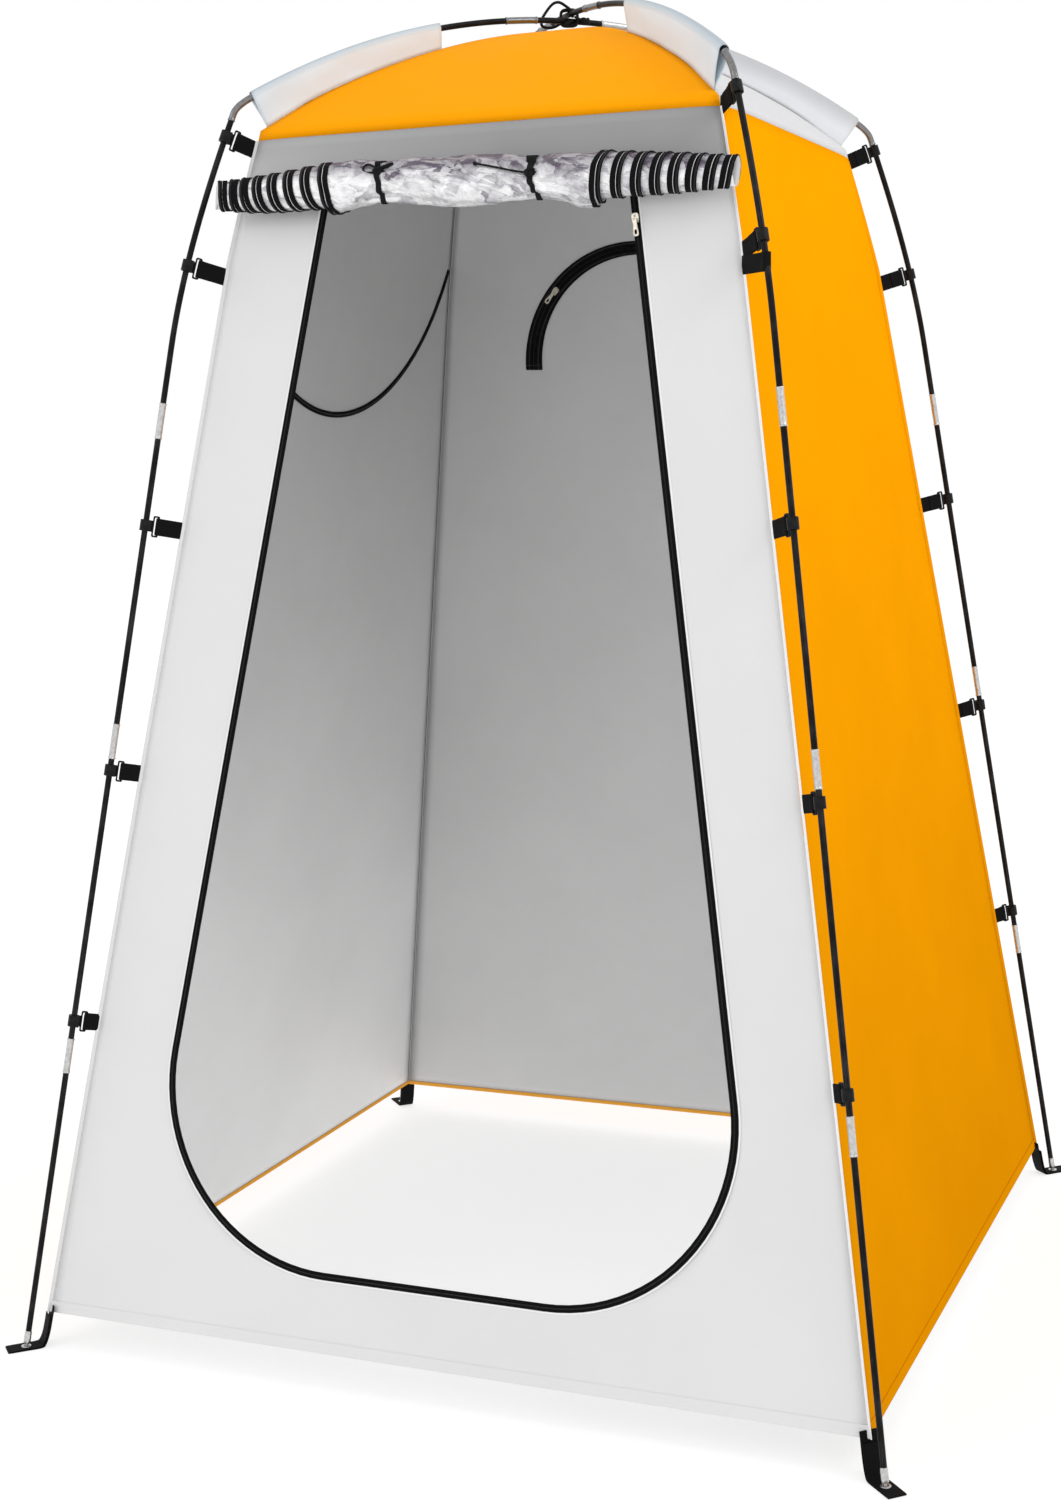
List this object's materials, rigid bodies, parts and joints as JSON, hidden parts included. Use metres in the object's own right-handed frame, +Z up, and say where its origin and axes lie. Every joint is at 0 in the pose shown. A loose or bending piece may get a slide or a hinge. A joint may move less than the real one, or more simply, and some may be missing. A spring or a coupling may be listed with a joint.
{
  "type": "privacy shower tent",
  "caption": "Upright square shower and changing tent: sewn walls hooked to crossed shock-corded poles, with a rolled-up door.",
  "frame": {"origin": "on the ground at the middle of the four feet", "axes": "+Z up, -Y out of the doorway, +X to the right for someone facing the doorway from outside"},
  "size_m": [1.3082, 1.3082, 1.9015],
  "materials": {
    "grey_cloth": "light grey coated polyester, fine plain weave, silver inside",
    "orange_cloth": "orange polyester, fine plain weave, silver inside",
    "white_cloth": "off-white polyester, fine plain weave",
    "silver_coating": "crinkled silver coated polyester",
    "black_webbing": "black woven polypropylene webbing",
    "black_plastic": "moulded black acetal",
    "fibreglass": "black fibreglass rod with steel ferrules",
    "zip_tape": "black coil zip on woven tape",
    "zinc": "pale gold plated zinc"
  },
  "bodies": {
    "root": {"wall_front": "grey_cloth", "wall_right": "orange_cloth", "wall_back": "orange_cloth", "wall_left": "orange_cloth", "roof_front": "orange_cloth", "roof_right": "grey_cloth", "roof_back": "orange_cloth", "roof_left": "grey_cloth", "leg_pole_front_left": "fibreglass", "pole_sleeve_front_left": "white_cloth", "seam_tape_front_left": "black_webbing", "foot_front_left": "black_webbing", "leg_pole_rear_right": "fibreglass", "pole_sleeve_rear_right": "white_cloth", "seam_tape_rear_right": "black_webbing", "foot_rear_right": "black_webbing", "leg_pole_front_right": "fibreglass", "pole_sleeve_front_right": "white_cloth", "seam_tape_front_right": "black_webbing", "foot_front_right": "black_webbing", "leg_pole_rear_left": "fibreglass", "pole_sleeve_rear_left": "white_cloth", "seam_tape_rear_left": "black_webbing", "foot_rear_left": "black_webbing", "arch_pole_lower": "fibreglass", "arch_pole_upper": "fibreglass", "rolled_door": "silver_coating", "roll_tie_left": "black_webbing", "roll_tie_right": "black_webbing", "apex_tie": "black_webbing", "door_zip": "zip_tape", "back_window_zip": "zip_tape", "left_window_zip": "zip_tape"},
    "hook_front_left_1": {"hook_front_left_1": "black_plastic"},
    "hook_front_left_2": {"hook_front_left_2": "black_plastic"},
    "hook_front_left_3": {"hook_front_left_3": "black_plastic"},
    "hook_front_left_4": {"hook_front_left_4": "black_plastic"},
    "hook_front_left_5": {"hook_front_left_5": "black_plastic"},
    "hook_rear_right_1": {"hook_rear_right_1": "black_plastic"},
    "hook_rear_right_2": {"hook_rear_right_2": "black_plastic"},
    "hook_rear_right_3": {"hook_rear_right_3": "black_plastic"},
    "hook_rear_right_4": {"hook_rear_right_4": "black_plastic"},
    "hook_rear_right_5": {"hook_rear_right_5": "black_plastic"},
    "hook_front_right_1": {"hook_front_right_1": "black_plastic"},
    "hook_front_right_2": {"hook_front_right_2": "black_plastic"},
    "hook_front_right_3": {"hook_front_right_3": "black_plastic"},
    "hook_front_right_4": {"hook_front_right_4": "black_plastic"},
    "hook_front_right_5": {"hook_front_right_5": "black_plastic"},
    "hook_rear_left_1": {"hook_rear_left_1": "black_plastic"},
    "hook_rear_left_2": {"hook_rear_left_2": "black_plastic"},
    "hook_rear_left_3": {"hook_rear_left_3": "black_plastic"},
    "hook_rear_left_4": {"hook_rear_left_4": "black_plastic"},
    "hook_rear_left_5": {"hook_rear_left_5": "black_plastic"},
    "door_zip_slider": {"door_zip_slider": "zinc"},
    "door_zip_pull": {"door_zip_pull": "zinc"},
    "back_zip_slider": {"back_zip_slider": "zinc"},
    "back_zip_pull": {"back_zip_pull": "zinc"},
    "left_zip_slider": {"left_zip_slider": "zinc"},
    "left_zip_pull": {"left_zip_pull": "zinc"}
  },
  "joints": [
    {"name": "hook_front_left_1_swivel", "type": "hinge", "parent": "root", "child": "hook_front_left_1", "pos_m": [-0.37139, -0.37139, 1.702], "axis": [0.2613, 0.2613, 0.9292], "range_deg": [-15, 15]},
    {"name": "hook_front_left_2_swivel", "type": "hinge", "parent": "root", "child": "hook_front_left_2", "pos_m": [-0.41472, -0.41472, 1.526], "axis": [0.1937, 0.1937, 0.9618], "range_deg": [-15, 15]},
    {"name": "hook_front_left_3_swivel", "type": "hinge", "parent": "root", "child": "hook_front_left_3", "pos_m": [-0.4674, -0.4674, 1.169], "axis": [0.1332, 0.1332, 0.9821], "range_deg": [-15, 15]},
    {"name": "hook_front_left_4_swivel", "type": "hinge", "parent": "root", "child": "hook_front_left_4", "pos_m": [-0.5138, -0.5138, 0.827], "axis": [0.1332, 0.1332, 0.9821], "range_deg": [-15, 15]},
    {"name": "hook_front_left_5_swivel", "type": "hinge", "parent": "root", "child": "hook_front_left_5", "pos_m": [-0.56196, -0.56196, 0.472], "axis": [0.1332, 0.1332, 0.9821], "range_deg": [-15, 15]},
    {"name": "hook_rear_right_1_swivel", "type": "hinge", "parent": "root", "child": "hook_rear_right_1", "pos_m": [0.36773, 0.36773, 1.715], "axis": [-0.2613, -0.2613, 0.9292], "range_deg": [-15, 15]},
    {"name": "hook_rear_right_2_swivel", "type": "hinge", "parent": "root", "child": "hook_rear_right_2", "pos_m": [0.41472, 0.41472, 1.526], "axis": [-0.1937, -0.1937, 0.9618], "range_deg": [-15, 15]},
    {"name": "hook_rear_right_3_swivel", "type": "hinge", "parent": "root", "child": "hook_rear_right_3", "pos_m": [0.4674, 0.4674, 1.169], "axis": [-0.1332, -0.1332, 0.9821], "range_deg": [-15, 15]},
    {"name": "hook_rear_right_4_swivel", "type": "hinge", "parent": "root", "child": "hook_rear_right_4", "pos_m": [0.5138, 0.5138, 0.827], "axis": [-0.1332, -0.1332, 0.9821], "range_deg": [-15, 15]},
    {"name": "hook_rear_right_5_swivel", "type": "hinge", "parent": "root", "child": "hook_rear_right_5", "pos_m": [0.56196, 0.56196, 0.472], "axis": [-0.1332, -0.1332, 0.9821], "range_deg": [-15, 15]},
    {"name": "hook_front_right_1_swivel", "type": "hinge", "parent": "root", "child": "hook_front_right_1", "pos_m": [0.36773, -0.36773, 1.715], "axis": [-0.2613, 0.2613, 0.9292], "range_deg": [-15, 15]},
    {"name": "hook_front_right_2_swivel", "type": "hinge", "parent": "root", "child": "hook_front_right_2", "pos_m": [0.41472, -0.41472, 1.526], "axis": [-0.1937, 0.1937, 0.9618], "range_deg": [-15, 15]},
    {"name": "hook_front_right_3_swivel", "type": "hinge", "parent": "root", "child": "hook_front_right_3", "pos_m": [0.4674, -0.4674, 1.169], "axis": [-0.1332, 0.1332, 0.9821], "range_deg": [-15, 15]},
    {"name": "hook_front_right_4_swivel", "type": "hinge", "parent": "root", "child": "hook_front_right_4", "pos_m": [0.5138, -0.5138, 0.827], "axis": [-0.1332, 0.1332, 0.9821], "range_deg": [-15, 15]},
    {"name": "hook_front_right_5_swivel", "type": "hinge", "parent": "root", "child": "hook_front_right_5", "pos_m": [0.56196, -0.56196, 0.472], "axis": [-0.1332, 0.1332, 0.9821], "range_deg": [-15, 15]},
    {"name": "hook_rear_left_1_swivel", "type": "hinge", "parent": "root", "child": "hook_rear_left_1", "pos_m": [-0.37139, 0.37139, 1.702], "axis": [0.2613, -0.2613, 0.9292], "range_deg": [-15, 15]},
    {"name": "hook_rear_left_2_swivel", "type": "hinge", "parent": "root", "child": "hook_rear_left_2", "pos_m": [-0.41472, 0.41472, 1.526], "axis": [0.1937, -0.1937, 0.9618], "range_deg": [-15, 15]},
    {"name": "hook_rear_left_3_swivel", "type": "hinge", "parent": "root", "child": "hook_rear_left_3", "pos_m": [-0.4674, 0.4674, 1.169], "axis": [0.1332, -0.1332, 0.9821], "range_deg": [-15, 15]},
    {"name": "hook_rear_left_4_swivel", "type": "hinge", "parent": "root", "child": "hook_rear_left_4", "pos_m": [-0.5138, 0.5138, 0.827], "axis": [0.1332, -0.1332, 0.9821], "range_deg": [-15, 15]},
    {"name": "hook_rear_left_5_swivel", "type": "hinge", "parent": "root", "child": "hook_rear_left_5", "pos_m": [-0.56196, 0.56196, 0.472], "axis": [0.1332, -0.1332, 0.9821], "range_deg": [-15, 15]},
    {"name": "door_zip_slide", "type": "slide", "parent": "root", "child": "door_zip_slider", "axis": [0.1549, -0.1504, -0.9764], "range_m": [0, 1.08]},
    {"name": "door_zip_pull_swing", "type": "hinge", "parent": "door_zip_slider", "child": "door_zip_pull", "pos_m": [0.23109, -0.37593, 1.55951], "axis": [-0.9879, -0.0236, -0.1531], "range_deg": [0, 110]},
    {"name": "back_zip_travel", "type": "hinge", "parent": "root", "child": "back_zip_slider", "pos_m": [-0.03, 0.38658, 1.39318], "axis": [0, 0.9883, 0.1522], "range_deg": [-38, 134]},
    {"name": "back_zip_pull_swing", "type": "hinge", "parent": "back_zip_slider", "child": "back_zip_pull", "pos_m": [-0.17484, 0.36278, 1.5201], "axis": [-0.7431, -0.1019, 0.6613], "range_deg": [0, 150]},
    {"name": "left_zip_travel", "type": "hinge", "parent": "root", "child": "left_zip_slider", "pos_m": [-0.33954, 0, 1.69857], "axis": [-0.9883, 0, 0.1522], "range_deg": [-112, 6]},
    {"name": "left_zip_pull_swing", "type": "hinge", "parent": "left_zip_slider", "child": "left_zip_pull", "pos_m": [-0.36966, -0.30985, 1.47544], "axis": [0.1232, -0.5878, 0.7996], "range_deg": [0, 150]}
  ]
}
